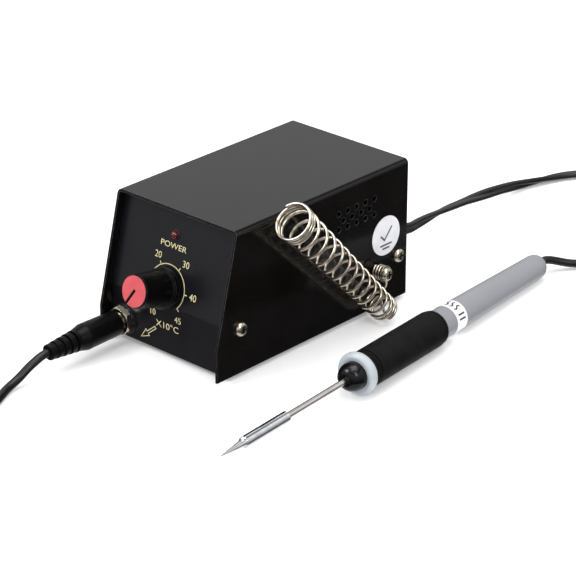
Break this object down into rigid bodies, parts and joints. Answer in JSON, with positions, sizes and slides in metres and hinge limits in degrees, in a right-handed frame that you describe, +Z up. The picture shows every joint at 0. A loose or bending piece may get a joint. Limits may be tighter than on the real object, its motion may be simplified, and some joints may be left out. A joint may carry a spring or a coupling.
{
  "type": "soldering iron",
  "caption": "Miniature corded soldering iron with its folded-steel power station: heat dial, jack, indicator lamp and a conical wire coil holder.",
  "frame": {"origin": "on the bench, in the middle of the underside of the station's front left foot", "axes": "+X to the right across the front panel, +Y from the front panel to the back, +Z up"},
  "size_m": [0.2644, 0.4437, 0.0688],
  "materials": {
    "black_paint": "gloss black paint over folded steel sheet",
    "panel_paint": "satin blue-black paint over folded steel sheet",
    "nickel": "bright nickel plate",
    "spring_wire": "bright nickel-plated spring wire",
    "foot_rubber": "matt black rubber",
    "paper": "white coated paper",
    "can_steel": "zinc-plated pressed steel",
    "phenolic": "brown phenolic board",
    "knob_black": "black moulded plastic",
    "knob_red": "coral-red moulded plastic",
    "lamp_red": "clear red resin",
    "moulded_black": "black moulded insulation",
    "brass": "plain brass",
    "circuit": "green solder mask on glass-fibre board",
    "component_black": "moulded component case",
    "aluminium": "mill-finish aluminium",
    "laminations": "stacked silicon-steel laminations",
    "bobbin_plastic": "natural moulded nylon",
    "winding_tape": "yellow polyester tape over enamelled copper",
    "wire_insulation": "coloured wire insulation",
    "cord_black": "black flexible cord jacket",
    "tip_chrome": "bright plated tip",
    "tube_steel": "polished stainless tube",
    "ceramic": "white alumina",
    "nose_gloss": "gloss black moulded plastic",
    "collar_grey": "pale blue-grey moulded plastic",
    "grip_rubber": "soft black rubber",
    "handle_grey": "silver-grey moulded plastic",
    "band_white": "white printed film"
  },
  "bodies": {
    "station": {"station_cover": "black_paint", "chassis_tray": "panel_paint", "case_screws": "nickel", "rubber_feet": "foot_rubber", "inspection_sticker": "paper", "pot_bushing": "nickel", "pot_can": "can_steel", "pot_track": "phenolic", "pot_nut": "nickel", "lamp_lens": "lamp_red", "lamp_ring": "component_black", "lamp_legs": "nickel", "jack_bush": "nickel", "jack_body": "moulded_black", "jack_pin": "nickel", "jack_nut": "nickel", "jack_lock_washer": "can_steel", "jack_washer": "component_black", "circuit_board": "circuit", "board_standoffs": "brass", "board_screws": "nickel", "floor_screws": "nickel", "board_capacitor": "component_black", "board_diodes": "component_black", "board_regulator": "component_black", "heat_sink": "aluminium", "transformer_core": "laminations", "transformer_bobbin": "bobbin_plastic", "transformer_winding": "winding_tape", "transformer_frame": "can_steel", "transformer_nuts": "nickel", "primary_leads": "wire_insulation", "secondary_leads": "wire_insulation", "jack_leads": "wire_insulation", "dial_leads": "wire_insulation", "mains_grommet": "moulded_black", "mains_cord": "cord_black", "mains_plug_body": "moulded_black", "mains_plug_pins": "nickel", "holder_washer": "nickel", "holder_screw": "nickel", "holder_nut": "nickel"},
    "knob": {"pot_shaft": "aluminium", "knob_body": "knob_black", "knob_cap": "knob_red"},
    "holder": {"holder_coil": "spring_wire"},
    "plug": {"plug_shell": "moulded_black", "plug_barrel": "nickel", "plug_insulator": "component_black", "iron_cord": "cord_black"},
    "iron": {"heater_tube": "tube_steel", "heater_core": "ceramic", "nose_bush": "nose_gloss", "collar_ring": "collar_grey", "grip_sleeve": "grip_rubber", "handle_tube": "handle_grey", "label_band": "band_white", "heater_leads": "wire_insulation", "cord_clamp": "can_steel"},
    "tip": {"iron_tip": "tip_chrome"}
  },
  "joints": [
    {"name": "knob_turn", "type": "hinge", "parent": "station", "child": "knob", "pos_m": [0.021, -0.00936, 0.02944], "axis": [0, 0.9689, -0.2474], "range_deg": [0, 300]},
    {"name": "holder_swivel", "type": "hinge", "parent": "station", "child": "holder", "pos_m": [0.0575, 0.0763, 0.0187], "axis": [1, 0, 0], "range_deg": [-40, 4]},
    {"name": "plug_pull", "type": "slide", "parent": "station", "child": "plug", "axis": [0, -1, 0], "range_m": [0, 0.012]},
    {"name": "iron_lift", "type": "slide", "parent": "plug", "child": "iron", "axis": [0, 0, 1], "range_m": [0, 0.12]},
    {"name": "tip_pull", "type": "slide", "parent": "iron", "child": "tip", "axis": [0.1067, -0.994, 0.0226], "range_m": [0, 0.03]}
  ]
}
